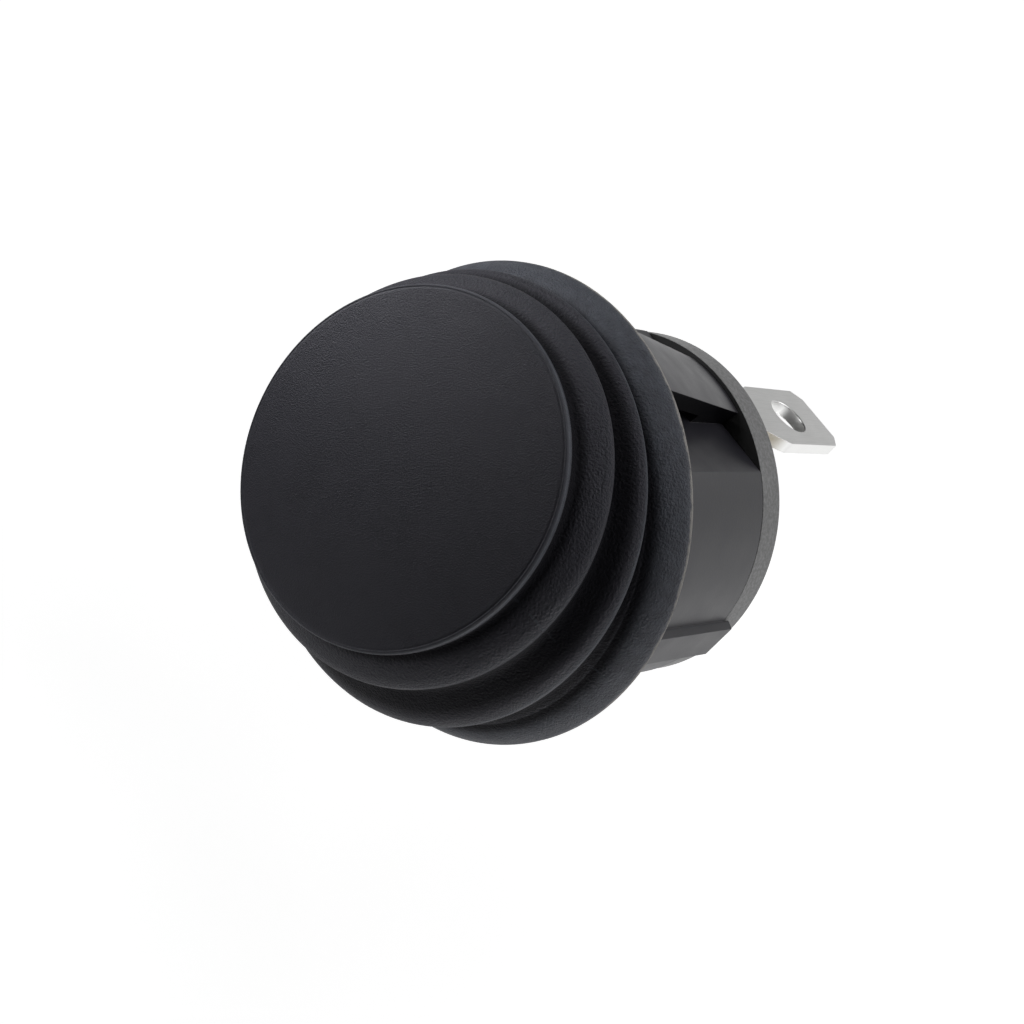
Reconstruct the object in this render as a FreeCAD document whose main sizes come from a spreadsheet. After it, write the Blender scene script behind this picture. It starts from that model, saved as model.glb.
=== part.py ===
import FreeCAD, Part
import os
import re
import Sketcher

# Round sealed rocker switch. Millimetres, +Y to the rear of the panel, front towards -Y, hinge along X.
# The panel plane is y = 0 and the hinge axis lies in it.

SIZES = [
    ("tilt", "17", "lean of the cap at either end of its travel, degrees"),
    ("lever_lean", "7", "lean of the contact lever at either end, degrees"),
    ("run_gap", "0.05", "running clearance of a pin or shaft, on the radius"),
    ("seat_gap", "0.03", "gap where two bodies meet without load"),
    ("slot_gap", "0.05", "clearance of a strip or spigot in its slot, each side"),
    ("side_gap", "0.25", "free room beside a moving piece"),
    ("barrel_r", "10.0", "housing barrel"),
    ("barrel_end", "11.05", "rear end of the barrel"),
    ("collar_end", "2.0", "end of the full round collar"),
    ("flat_cut", "1.6", "depth of the barrel's flats"),
    ("wall_flat", "0.65", "wall at the flats"),
    ("wall_round", "1.3", "wall at the round sides"),
    ("bezel_step", "1.0", "bezel disc beyond the barrel"),
    ("bezel_th", "0.8", "bezel disc thickness"),
    ("gasket_th", "0.6", "boot lip between the bezel and the panel"),
    ("flange_cover", "0.2", "boot beyond the bezel at the front of the flange"),
    ("flange_step", "1.3", "flange edge beyond the front of its slope"),
    ("flange_front", "2.0", "front of the flange slope"),
    ("edge_th", "0.45", "flange edge thickness"),
    ("lip2_s", "4.4", "outer lip, distance from the hinge"),
    ("lip2_step", "0.2", "outer lip beyond the front of the flange slope"),
    ("lip2_f", "0.54", "share of the lean at the outer lip"),
    ("root1_s", "5.6", "root of the inner step, distance from the hinge"),
    ("root1_f", "0.74", "share of the lean at the root of the inner step"),
    ("lip1_s", "7.5", "inner lip, distance from the hinge"),
    ("lip1_step", "1.34", "inner lip inside the outer lip"),
    ("cap_s", "9.62", "cap face, distance from the hinge"),
    ("cap_step", "1.29", "cap rim inside the inner lip"),
    ("lip_th", "0.6", "height of a lip's outer wall"),
    ("lip_draw", "0.16", "undercut behind a lip"),
    ("root_draw", "0.31", "depth of a root inside the lip above it"),
    ("boot_wall", "0.8", "boot wall"),
    ("lip_wall", "0.92", "boot wall at a lip"),
    ("disc_h", "1.4", "rocker disc thickness"),
    ("disc_chamfer", "0.4", "rocker disc chamfer"),
    ("disc_fit", "0.1", "room round the rocker disc in the boot"),
    ("tongue_start", "2.3", "free end of a snap tongue"),
    ("tongue_rise", "1.63", "tongue cone beyond the barrel at the panel plane"),
    ("tongue_slope", "0.172", "tongue cone slope"),
    ("tongue_half", "12.4", "half angle of a snap tongue, degrees"),
    ("tongue_th", "1.1", "snap tongue thickness"),
    ("web_length", "3.35", "web under a tongue, from the rear of the barrel"),
    ("key_half", "1.25", "half width of the anti-rotation key at the barrel"),
    ("key_top", "1.12", "half width of the key's outer face"),
    ("key_rise", "0.42", "key beyond the barrel"),
    ("key_over", "0.45", "end of the key standing over the rim"),
    ("pin_r", "1.0", "rocker pivot pin"),
    ("pin_length", "1.8", "pivot pin beyond the cheek"),
    ("pin_room", "0.2", "room at the end of a pin"),
    ("cheek_x", "5.6", "outer face of the rocker cheeks"),
    ("cheek_th", "1.3", "rocker cheek thickness"),
    ("cheek_wide", "5.0", "half width of a cheek at the disc"),
    ("cheek_low", "2.0", "half width of a cheek behind its pin"),
    ("cheek_end", "1.9", "cheek behind the hinge"),
    ("rib_th", "1.2", "rib from cheek to cheek"),
    ("sink", "0.2", "depth to which a moulded feature runs into its neighbour"),
    ("boss_gap", "0.3", "side gap from cheek to bearing boss"),
    ("boss_half", "2.6", "half height of a bearing boss"),
    ("boss_end", "2.8", "rear of a bearing boss"),
    ("tube_r", "2.2", "spring tube of the rocker"),
    ("tube_end", "4.0", "open end of the spring tube"),
    ("bore_r", "1.35", "bore of the spring tube"),
    ("bore_depth", "8.5", "depth of the spring tube's bore"),
    ("reach", "6.0", "hinge to the centre of the plunger's ball"),
    ("plunger_back", "1.6", "rear face of the plunger in its bore"),
    ("plunger_neck", "5.0", "end of the plunger's round shank"),
    ("wire_r", "0.16", "spring wire"),
    ("coil_fit", "0.21", "coil inside its bore"),
    ("coil_turns", "4", "spring turns"),
    ("fulcrum", "8.0", "hinge to the lever's folded edge"),
    ("fold", "26.8", "slope of the lever's fold, degrees"),
    ("fold_z", "2.2", "half length of the folded part"),
    ("lever_th", "0.6", "lever strip thickness"),
    ("lever_half", "1.8", "half width of the lever"),
    ("arm_beyond", "1.3", "contact arm beyond its contact"),
    ("tail_z", "3.4", "end of the tail arm"),
    ("contact_inset", "2.15", "moving contact inside the barrel's inner flat"),
    ("contact_r", "1.35", "contact head radius"),
    ("contact_h", "0.8", "moving contact height to its dome"),
    ("contact_round", "0.15", "rounding of the fixed contact's head"),
    ("dome_r", "4.0", "moving contact dome"),
    ("shank_r", "0.7", "contact shank"),
    ("upset_r", "1.0", "upset end of the moving contact"),
    ("upset_h", "0.25", "height of the upset end"),
    ("spigot_length", "1.35", "base's spigot in the barrel"),
    ("rim_th", "2.1", "base's rim"),
    ("rim_chamfer", "0.25", "rear edge of the rim"),
    ("block_th", "2.4", "terminal block behind the rim"),
    ("block_half", "2.4", "half width of the terminal block"),
    ("block_edge", "0.55", "terminal block beyond the switched tab"),
    ("block_below", "2.5", "terminal block below the common tab"),
    ("tab_th", "0.8", "terminal strip thickness"),
    ("tab_half", "2.4", "half width of a terminal tab"),
    ("tab_end", "25.85", "end of a terminal tab"),
    ("tab_inset", "0.1", "switched tab inside the barrel's inner flat"),
    ("tab_corner", "0.75", "corner chamfer of a tab"),
    ("tab_hole_y", "21.9", "tab hole"),
    ("tab_hole_r", "1.3", "tab hole radius"),
    ("neck_half", "1.35", "half width of a terminal neck"),
    ("neck_end", "17.4", "rear end of the neck"),
    ("shoulder_end", "19.4", "where the tab reaches full width"),
    ("foot_half", "2.0", "half width of the switched terminal's foot"),
    ("foot_beyond", "1.9", "foot inside the fixed contact's axis"),
    ("bend_r", "0.56", "outer bend of the switched terminal"),
    ("ear_th", "0.65", "width of an ear of the common terminal"),
    ("ear_rise", "1.13", "ears in front of the fulcrum edge"),
    ("flat_z", "=barrel_r - flat_cut", "outer flats of the barrel"),
    ("cavity_z", "=flat_z - wall_flat", "inner flats"),
    ("cavity_r", "=barrel_r - wall_round", "inner round"),
    ("bezel_r", "=barrel_r + bezel_step", "bezel disc in the boot's groove"),
    ("bezel_front", "=gasket_th + bezel_th", "bezel front face before the panel plane"),
    ("key_r", "=barrel_r + key_rise", "outer face of the key"),
    ("tongue_r0", "=barrel_r + tongue_rise", "tongue cone radius at the panel plane"),
    ("web_start", "=barrel_end - web_length", "front of the web under a tongue"),
    ("slope_r", "=bezel_r + flange_cover", "radius at the front of the flange slope"),
    ("flange_r", "=slope_r + flange_step", "boot flange"),
    ("lip2_r", "=slope_r + lip2_step", "outer lip radius"),
    ("lip1_r", "=lip2_r - lip1_step", "inner lip radius"),
    ("root1_r", "=lip1_r - root_draw", "root of the inner step"),
    ("cap_r", "=lip1_r - cap_step", "cap rim radius"),
    ("cap_under", "=cap_s - boot_wall", "underside of the boot's cap"),
    ("disc_r", "=cap_r - boot_wall - disc_fit", "rocker disc under the cap"),
    ("disc_top", "=cap_under - seat_gap", "front of the rocker disc"),
    ("disc_back", "=disc_top - disc_h", "rear of the rocker disc"),
    ("boss_x", "=cheek_x + boss_gap", "inner face of a bearing boss"),
    ("pin_end", "=cheek_x + pin_length", "end of a pivot pin"),
    ("bore_start", "=tube_end - bore_depth", "blind end of the spring tube"),
    ("coil_r", "=bore_r - wire_r - coil_fit", "spring coil, to the wire's centre"),
    ("edge_y0", "=fulcrum + seat_gap", "fulcrum edge of the common terminal"),
    ("tip_y", "=reach * cos(tilt) - fulcrum", "ball centre from the fulcrum, depth"),
    ("tip_z", "=reach * sin(tilt)", "ball centre from the fulcrum, height"),
    ("tip_u", "=tip_y * cos(lever_lean) - tip_z * sin(lever_lean)", "ball centre square to the lever"),
    ("tip_w", "=tip_z * cos(lever_lean) + tip_y * sin(lever_lean)", "ball centre along the lever"),
    ("fold_y", "=-lever_th / cos(fold)", "front of the fold at the fulcrum"),
    ("ball_r", "=(fold_y - tip_w * tan(fold) - tip_u) * cos(fold) - seat_gap", "ball seated on the fold"),
    ("contact_z", "=cavity_z - contact_inset", "moving contact along the arm"),
    ("arm_z", "=contact_z + arm_beyond", "end of the contact arm"),
    ("arm_under", "=-fold_z * tan(fold)", "rear face of the lever's arms"),
    ("arm_front", "=arm_under - lever_th", "front face of the lever's arms"),
    ("dome_top", "=arm_under + contact_h", "top of the moving contact's dome"),
    ("dome_y", "=(dome_top - dome_r) * cos(lever_lean)", "dome centre from the fulcrum, closed"),
    ("meet_y", "=fulcrum + dome_y + contact_z * sin(lever_lean) + dome_r + seat_gap", "fixed face"),
    ("dome_z", "=contact_z * cos(lever_lean)", "first part of the dome's height, closed"),
    ("meet_z", "=dome_z - (dome_top - dome_r) * sin(lever_lean)", "fixed contact height"),
    ("rim_start", "=barrel_end + slot_gap", "front of the base's rim"),
    ("rim_end", "=rim_start + rim_th", "rear of the base's rim"),
    ("rim_r", "=barrel_r - slot_gap", "radius of the base's rim"),
    ("base_front", "=rim_start - spigot_length", "front face of the base's spigot"),
    ("block_end", "=rim_end + block_th", "rear of the terminal block"),
    ("tab_top", "=cavity_z - tab_inset", "outer face of the switched tab"),
    ("tab_z", "=tab_top - tab_th", "inner face of the switched tab"),
    ("foot_front", "=base_front - tab_th", "front of the switched terminal's foot"),
    ("foot_low", "=meet_z - foot_beyond", "inner end of the foot"),
    ("ear_inner", "=lever_half + side_gap", "inside of the common terminal's ears"),
    ("ear_half", "=ear_inner + ear_th", "outside of the common terminal's ears"),
    ("ear_front", "=edge_y0 - ear_rise", "front of the ears"),
]

doc = FreeCAD.newDocument("rocker_switch")
sheet = doc.addObject("Spreadsheet::Sheet", "sizes")
ALIASES = set()
for row, (alias, value, note) in enumerate(SIZES, start=1):
    sheet.set("A%d" % row, note)
    sheet.set("B%d" % row, value)
    sheet.setAlias("B%d" % row, alias)
    ALIASES.add(alias)
doc.recompute()


def bind(text):
    """Turn a plain formula into an expression on the sheet."""

    def name(match):
        word = match.group(0)
        return "sizes." + word if word in ALIASES else word

    return re.sub(r"[A-Za-z_][A-Za-z_0-9]*", name, str(text))


def make_body(name):
    body = doc.addObject("PartDesign::Body", name)
    body.Label = name
    return body


def origin_part(body, role):
    for item in body.Origin.OriginFeatures:
        if item.Role == role:
            return item
    raise RuntimeError("no " + role)


def make_sketch(body, name, role, offset="0"):
    sketch = body.newObject("Sketcher::SketchObject", name)
    sketch.AttachmentSupport = (origin_part(body, role), [""])
    sketch.MapMode = "FlatFace"
    sketch.setExpression("AttachmentOffset.Base.z", bind(offset))
    return sketch


def hold(sketch, geo, end, x, y):
    """Hold a sketch point at two formulas."""
    for kind, text, axis in (("DistanceX", x, -2), ("DistanceY", y, -1)):
        value = float(sketch.evalExpression(bind(text)))
        if abs(value) < 1e-9:
            sketch.addConstraint(Sketcher.Constraint("PointOnObject", geo, end, axis))
        elif value > 0:
            index = sketch.addConstraint(Sketcher.Constraint(kind, -1, 1, geo, end, value))
            sketch.setExpression("Constraints[%d]" % index, bind(text))
        else:
            index = sketch.addConstraint(Sketcher.Constraint(kind, geo, end, -1, 1, -value))
            sketch.setExpression("Constraints[%d]" % index, bind("-(%s)" % text))


def value_of(sketch, text):
    return float(sketch.evalExpression(bind(text)))


def polygon(sketch, points):
    """Closed outline through points given as formulas."""
    at = [FreeCAD.Vector(value_of(sketch, x), value_of(sketch, y), 0) for x, y in points]
    first = sketch.GeometryCount
    count = len(points)
    for i in range(count):
        sketch.addGeometry(Part.LineSegment(at[i], at[(i + 1) % count]), False)
    for i in range(count):
        after = first + (i + 1) % count
        sketch.addConstraint(Sketcher.Constraint("Coincident", first + i, 2, after, 1))
    for i, (x, y) in enumerate(points):
        hold(sketch, first + i, 1, x, y)


def rectangle(sketch, x0, x1, y0, y1):
    polygon(sketch, [(x0, y0), (x1, y0), (x1, y1), (x0, y1)])


def circle(sketch, radius, x="0", y="0"):
    centre = FreeCAD.Vector(value_of(sketch, x), value_of(sketch, y), 0)
    ring = Part.Circle(centre, FreeCAD.Vector(0, 0, 1), value_of(sketch, radius))
    geo = sketch.addGeometry(ring, False)
    index = sketch.addConstraint(Sketcher.Constraint("Radius", geo, value_of(sketch, radius)))
    sketch.setExpression("Constraints[%d]" % index, bind(radius))
    hold(sketch, geo, 3, x, y)


def flatted(sketch, radius, flat):
    """Round outline with flats at plus and minus flat."""
    r = value_of(sketch, radius)
    z = value_of(sketch, flat)
    x = (r * r - z * z) ** 0.5
    up = FreeCAD.Vector(0, 0, 1)
    ring = Part.Circle(FreeCAD.Vector(0, 0, 0), up, r)
    at = [FreeCAD.Vector(px, py, 0) for px, py in ((x, -z), (x, z), (-x, z), (-x, -z))]
    turn = [ring.parameter(p) for p in at]
    sketch.addGeometry(Part.ArcOfCircle(ring, turn[0] - 6.283185307179586, turn[1]), False)
    sketch.addGeometry(Part.LineSegment(at[1], at[2]), False)
    sketch.addGeometry(Part.ArcOfCircle(ring, turn[2], turn[3]), False)
    sketch.addGeometry(Part.LineSegment(at[3], at[0]), False)
    for i in range(4):
        sketch.addConstraint(Sketcher.Constraint("Coincident", i, 2, (i + 1) % 4, 1))
    for geo in (0, 2):
        sketch.addConstraint(Sketcher.Constraint("Coincident", geo, 3, -1, 1))
    index = sketch.addConstraint(Sketcher.Constraint("Radius", 0, r))
    sketch.setExpression("Constraints[%d]" % index, bind(radius))
    sketch.addConstraint(Sketcher.Constraint("Horizontal", 1))
    sketch.addConstraint(Sketcher.Constraint("Horizontal", 3))
    index = sketch.addConstraint(Sketcher.Constraint("DistanceY", -1, 1, 1, 1, z))
    sketch.setExpression("Constraints[%d]" % index, bind(flat))
    index = sketch.addConstraint(Sketcher.Constraint("DistanceY", 3, 1, -1, 1, z))
    sketch.setExpression("Constraints[%d]" % index, bind(flat))


def extrude(body, kind, name, sketch, length, back=False, middle=False, through=False):
    """Pad or pocket; back turns it against the sketch's own direction."""
    feature = body.newObject("PartDesign::" + kind, name)
    feature.Profile = sketch
    feature.Reversed = back
    if middle:
        feature.SideType = "Symmetric"
    if through:
        feature.Type = "ThroughAll"
    else:
        feature.setExpression("Length", bind(length))
    return feature


def turn(body, kind, name, sketch, axis="V_Axis", angle=None):
    """Revolution or groove about a sketch axis."""
    feature = body.newObject("PartDesign::" + kind, name)
    feature.Profile = sketch
    feature.ReferenceAxis = (sketch, [axis])
    if angle is None:
        feature.Angle = 360
    else:
        feature.Midplane = True
        feature.setExpression("Angle", bind(angle))
    return feature


def pair(body, name, original):
    """Repeat a feature half a turn round Y."""
    pattern = body.newObject("PartDesign::PolarPattern", name)
    pattern.Originals = [original]
    pattern.Axis = (origin_part(body, "Y_Axis"), [""])
    pattern.Angle = 360
    pattern.Occurrences = 2
    body.Tip = pattern
    return pattern


def edges_where(feature, test):
    """Names of the edges whose points all pass a test."""
    names = []
    for number, edge in enumerate(feature.Shape.Edges, start=1):
        low, high = edge.ParameterRange
        if all(test(edge.valueAt(low + part * (high - low))) for part in (0, 0.3, 0.6, 1)):
            names.append("Edge%d" % number)
    if not names:
        raise RuntimeError("no edges found on " + feature.Name)
    return names


def dress(body, kind, name, feature, edges, size):
    """Fillet or chamfer on named edges."""
    item = body.newObject("PartDesign::" + kind, name)
    item.Base = (feature, edges)
    item.setExpression("Radius" if kind == "Fillet" else "Size", bind(size))
    return item


def lean(body, angle, depth="0"):
    """Turn a body about the X axis at a depth behind the panel plane."""
    body.Placement = FreeCAD.Placement(FreeCAD.Vector(0, 0, 0), FreeCAD.Rotation(FreeCAD.Vector(1, 0, 0), 10))
    body.setExpression(".Placement.Base.y", bind(depth))
    body.setExpression(".Placement.Rotation.Angle", bind("(%s) * 1 deg" % angle))


def leaned_rings(body, name, stations):
    """Circles square to a direction that leans more and more from the flange to the cap."""
    sketches = []
    for number, (along, radius, share) in enumerate(stations):
        sketch = body.newObject("Sketcher::SketchObject", "%s_%d" % (name, number))
        sketch.Placement = FreeCAD.Placement(
            FreeCAD.Vector(0, 0, 0), FreeCAD.Rotation(FreeCAD.Vector(1, 0, 0), 80)
        )
        slant = "(%s) * tilt" % share
        sketch.setExpression(".Placement.Base.y", bind("-(%s) * cos(%s)" % (along, slant)))
        sketch.setExpression(".Placement.Base.z", bind("(%s) * sin(%s)" % (along, slant)))
        sketch.setExpression(".Placement.Rotation.Angle", bind("(90 - %s) * 1 deg" % slant))
        circle(sketch, radius)
        sketches.append(sketch)
    return sketches


def loft(body, kind, name, sketches):
    feature = body.newObject("PartDesign::" + kind, name)
    feature.Profile = sketches[0]
    feature.Sections = sketches[1:]
    feature.Ruled = True
    return feature


# Sealing boot: stepped bellows, flange fixed and cap leaned by the full tilt.
boot = make_body("sealing_boot")
outer = [
    ("0", "flange_r", "0"),
    ("edge_th", "flange_r", "0"),
    ("flange_front", "slope_r", "0"),
    ("flange_front * 1.25", "slope_r - lip2_step * 1.75", "0.12"),
    ("lip2_s - lip_th", "lip2_r - lip_draw * 0.45", "lip2_f - 0.064"),
    ("lip2_s", "lip2_r", "lip2_f"),
    ("lip2_s + lip_th * 0.4", "lip2_r - lip_draw", "lip2_f + 0.03"),
    ("root1_s", "root1_r", "root1_f"),
    ("lip1_s - lip_th", "lip1_r", "0.92"),
    ("lip1_s", "lip1_r - lip_draw * 0.25", "0.98"),
    ("lip1_s + lip_th * 0.4", "lip1_r - lip_draw * 1.25", "1"),
    ("cap_s - boot_wall * 1.5", "cap_r - lip_draw * 1.25", "1"),
    ("cap_s - lip_th * 0.7", "cap_r", "1"),
    ("cap_s", "cap_r - lip_draw * 0.9", "1"),
]
inner = [
    ("bezel_front - bezel_th * 0.25", "bezel_r - 1.25 * boot_wall", "0"),
    ("flange_front * 1.15", "slope_r - lip2_step * 1.25 - 1.125 * boot_wall", "0.1"),
    ("lip2_s - lip_th * 0.5", "lip2_r - lip_wall", "lip2_f - 0.032"),
    ("root1_s - boot_wall * 0.125", "root1_r - boot_wall", "root1_f"),
    ("lip1_s - lip_th * 0.5", "lip1_r - lip_wall", "0.95"),
    ("cap_under - boot_wall * 0.8", "disc_r + disc_fit", "1"),
    ("cap_under", "disc_r + disc_fit", "1"),
]
loft(boot, "AdditiveLoft", "boot_outside", leaned_rings(boot, "outer", outer))
loft(boot, "SubtractiveLoft", "boot_inside", leaned_rings(boot, "inner", inner))
sk = make_sketch(boot, "bezel_groove", "XY_Plane")
polygon(
    sk,
    [
        ("0", "sink"),
        ("barrel_r + slot_gap", "sink"),
        ("barrel_r + slot_gap", "-gasket_th"),
        ("bezel_r + slot_gap", "-gasket_th"),
        ("bezel_r + slot_gap", "-bezel_front"),
        ("0", "-bezel_front"),
    ],
)
turn(boot, "Groove", "boot_groove", sk)
sk = make_sketch(boot, "key_notch", "XZ_Plane", "-sink")
rectangle(sk, "0", "key_r + slot_gap", "-key_half - slot_gap", "key_half + slot_gap")
extrude(boot, "Pocket", "boot_key_notch", sk, "gasket_th + sink", back=True)

# Housing: bezel, collar, flatted barrel, snap tongues, key and bearing bosses in one moulding.
housing = make_body("housing")
sk = make_sketch(housing, "barrel_section", "XY_Plane")
polygon(
    sk,
    [
        ("0", "-bezel_front"),
        ("bezel_r", "-bezel_front"),
        ("bezel_r", "-gasket_th"),
        ("barrel_r", "-gasket_th"),
        ("barrel_r", "barrel_end"),
        ("0", "barrel_end"),
    ],
)
turn(housing, "Revolution", "barrel", sk)
sk = make_sketch(housing, "upper_flat", "XZ_Plane", "-collar_end")
rectangle(sk, "-barrel_r", "barrel_r", "flat_z", "barrel_r + flat_cut")
flat = extrude(housing, "Pocket", "flat", sk, "barrel_end", back=False)
pair(housing, "flats", flat)
sk = make_sketch(housing, "tongue_section", "YZ_Plane")
polygon(
    sk,
    [
        ("tongue_start", "tongue_r0 - tongue_slope * tongue_start"),
        ("barrel_end", "tongue_r0 - tongue_slope * barrel_end"),
        ("barrel_end", "flat_z - wall_flat / 2"),
        ("web_start", "flat_z - wall_flat / 2"),
        ("web_start", "tongue_r0 - tongue_slope * web_start - tongue_th"),
        ("tongue_start", "tongue_r0 - tongue_slope * tongue_start - tongue_th"),
    ],
)
tongue = turn(housing, "Revolution", "tongue", sk, "H_Axis", "2 * tongue_half")
pair(housing, "tongues", tongue)
sk = make_sketch(housing, "key_outline", "XZ_Plane", "gasket_th")
polygon(
    sk,
    [
        ("barrel_r - wall_round / 2", "-key_half"),
        ("barrel_r", "-key_half"),
        ("key_r", "-key_top"),
        ("key_r", "key_top"),
        ("barrel_r", "key_half"),
        ("barrel_r - wall_round / 2", "key_half"),
    ],
)
key = extrude(housing, "Pad", "key", sk, "barrel_end + key_over + gasket_th", back=True)
sk = make_sketch(housing, "key_trim", "XZ_Plane", "-barrel_end")
circle(sk, "barrel_r")
extrude(housing, "Pocket", "key_end", sk, "key_over")
sk = make_sketch(housing, "cavity_outline", "XZ_Plane", "bezel_front")
flatted(sk, "cavity_r", "cavity_z")
cavity = extrude(housing, "Pocket", "cavity", sk, "barrel_end + bezel_front", back=False)
sk = make_sketch(housing, "boss_outline", "XZ_Plane", "bezel_front")
rectangle(sk, "boss_x", "cavity_r + wall_round / 4", "-boss_half", "boss_half")
boss = extrude(housing, "Pad", "boss", sk, "bezel_front + boss_end", back=True)
pair(housing, "bosses", boss)
sk = make_sketch(housing, "pivot_hole", "YZ_Plane")
circle(sk, "pin_r + run_gap")
extrude(housing, "Pocket", "pivot_holes", sk, "2 * (pin_end + pin_room)", middle=True)

# Base: rear closure with spigot, rim and terminal block.
base = make_body("base")
sk = make_sketch(base, "rim_outline", "XZ_Plane", "-rim_start")
circle(sk, "rim_r")
rim = extrude(base, "Pad", "rim", sk, "rim_end - rim_start", back=True)
sk = make_sketch(base, "spigot_outline", "XZ_Plane", "-rim_start")
flatted(sk, "cavity_r - slot_gap", "cavity_z - slot_gap")
extrude(base, "Pad", "spigot", sk, "rim_start - base_front")
sk = make_sketch(base, "block_outline", "XZ_Plane", "-rim_end")
rectangle(sk, "-block_half", "block_half", "-block_below", "tab_top + block_edge")
extrude(base, "Pad", "block", sk, "block_end - rim_end", back=True)
sk = make_sketch(base, "slot_outline", "XZ_Plane", "-base_front")
rectangle(sk, "-neck_half - slot_gap", "neck_half + slot_gap", "tab_z - slot_gap", "tab_top + slot_gap")
rectangle(
    sk, "-neck_half - slot_gap", "neck_half + slot_gap", "-tab_th / 2 - slot_gap", "tab_th / 2 + slot_gap"
)
slots = extrude(base, "Pocket", "slots", sk, "block_end - base_front", back=False)
doc.recompute()


def on_rim(p):
    """A point on the rear edge of the rim."""
    return abs(p.y - sheet.rim_end) < 1e-4 and p.x**2 + p.z**2 > (sheet.rim_r - 1e-3) ** 2


ring = edges_where(slots, on_rim)
dress(base, "Chamfer", "rim_edge", slots, ring, "rim_chamfer")


def tab_outline(sketch, inner):
    """Neck, shoulders and chamfered tab of a terminal; inner is the outline ahead of the neck."""
    right = [
        ("neck_half", "neck_end"),
        ("neck_half + (tab_half - neck_half) * 0.52", "neck_end + (shoulder_end - neck_end) * 0.45"),
        ("neck_half + (tab_half - neck_half) * 0.9", "neck_end + (shoulder_end - neck_end) * 0.85"),
        ("tab_half", "shoulder_end"),
        ("tab_half", "tab_end - tab_corner"),
        ("tab_half - tab_corner", "tab_end"),
    ]
    points = inner + right
    mirror = [("-(%s)" % x, y) for x, y in reversed(points) if x != "0"]
    polygon(sketch, points + mirror)


# Common terminal: tab outside, lever fulcrum between two ears inside.
common = make_body("terminal_common")
sk = make_sketch(common, "common_outline", "XY_Plane")
head = [
    ("ear_inner", "edge_y0"),
    ("ear_inner", "ear_front"),
    ("ear_half", "ear_front"),
    ("ear_half", "base_front"),
    ("neck_half", "base_front"),
]
tab_outline(sk, head)
strip = extrude(common, "Pad", "strip", sk, "tab_th", middle=True)
sk = make_sketch(common, "common_hole", "XY_Plane")
circle(sk, "tab_hole_r", "0", "tab_hole_y")
extrude(common, "Pocket", "hole", sk, "2 * tab_th", middle=True)

# Switched terminal: tab outside, foot bent over the front of the base inside.
switched = make_body("terminal_switched")
sk = make_sketch(switched, "switched_outline", "XY_Plane", "tab_z")
tab_outline(sk, [("neck_half", "foot_front")])
extrude(switched, "Pad", "strip2", sk, "tab_th")
sk = make_sketch(switched, "foot_outline", "XZ_Plane", "-foot_front")
rectangle(sk, "-foot_half", "foot_half", "foot_low", "tab_top")
extrude(switched, "Pad", "foot", sk, "tab_th", back=True)
sk = make_sketch(switched, "switched_hole", "XY_Plane", "tab_top")
circle(sk, "tab_hole_r", "0", "tab_hole_y")
extrude(switched, "Pocket", "hole2", sk, "tab_th")
sk = make_sketch(switched, "shank_hole", "XZ_Plane", "-foot_front")
circle(sk, "shank_r", "0", "meet_z")
hole = extrude(switched, "Pocket", "rivet_hole", sk, "tab_th", back=False)
doc.recompute()
bend = edges_where(hole, lambda p: abs(p.y - sheet.foot_front) < 1e-4 and abs(p.z - sheet.tab_top) < 1e-4)
dress(switched, "Fillet", "bend", hole, bend, "bend_r")


def rivet(body, points, depth, height):
    """Contact turned about an axis along Y."""
    sketch = make_sketch(body, body.Label + "_section", "XY_Plane")
    polygon(sketch, points)
    turn(body, "Revolution", body.Label + "_turned", sketch)
    body.setExpression(".Placement.Base.y", bind(depth))
    body.setExpression(".Placement.Base.z", bind(height))


# Fixed contact riveted in the foot.
fixed = make_body("fixed_contact")
rivet(
    fixed,
    [
        ("0", "0"),
        ("contact_r - contact_round", "0"),
        ("contact_r", "contact_round"),
        ("contact_r", "foot_front - meet_y"),
        ("shank_r", "foot_front - meet_y"),
        ("shank_r", "base_front - meet_y"),
        ("0", "base_front - meet_y"),
    ],
    "meet_y",
    "meet_z",
)

# Contact lever: strip folded to a valley, arms bent flat, hole for its contact.
lever = make_body("contact_lever")
sk = make_sketch(lever, "lever_section", "YZ_Plane")
polygon(
    sk,
    [
        ("0", "0"),
        ("arm_under", "fold_z"),
        ("arm_under", "arm_z"),
        ("arm_front", "arm_z"),
        ("arm_front", "fold_z - lever_th * tan(fold / 2)"),
        ("fold_y", "0"),
        ("arm_front", "-fold_z + lever_th * tan(fold / 2)"),
        ("arm_front", "-tail_z"),
        ("arm_under", "-tail_z"),
        ("arm_under", "-fold_z"),
    ],
)
extrude(lever, "Pad", "plate", sk, "2 * lever_half", middle=True)
sk = make_sketch(lever, "lever_hole", "XZ_Plane")
circle(sk, "shank_r", "0", "contact_z")
extrude(lever, "Pocket", "lever_rivet_hole", sk, "-4 * arm_front", middle=True)
lean(lever, "lever_lean", "fulcrum")

# Moving contact: domed head behind the arm, upset head in front.
moving = make_body("moving_contact")
sk = make_sketch(moving, "moving_section", "XY_Plane")
polygon(
    sk,
    [
        ("0", "arm_front - upset_h"),
        ("upset_r", "arm_front - upset_h"),
        ("upset_r", "arm_front"),
        ("shank_r", "arm_front"),
        ("shank_r", "arm_under"),
        ("contact_r", "arm_under"),
        ("contact_r", "dome_top - contact_r ^ 2 / (1.6 * dome_r)"),
        ("contact_r / 2", "dome_top - contact_r ^ 2 / (7 * dome_r)"),
        ("0", "dome_top"),
    ],
)
turn(moving, "Revolution", "moving_turned", sk)
lean(moving, "lever_lean")
moving.setExpression(".Placement.Base.y", bind("fulcrum - contact_z * sin(lever_lean)"))
moving.setExpression(".Placement.Base.z", bind("contact_z * cos(lever_lean)"))

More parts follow.
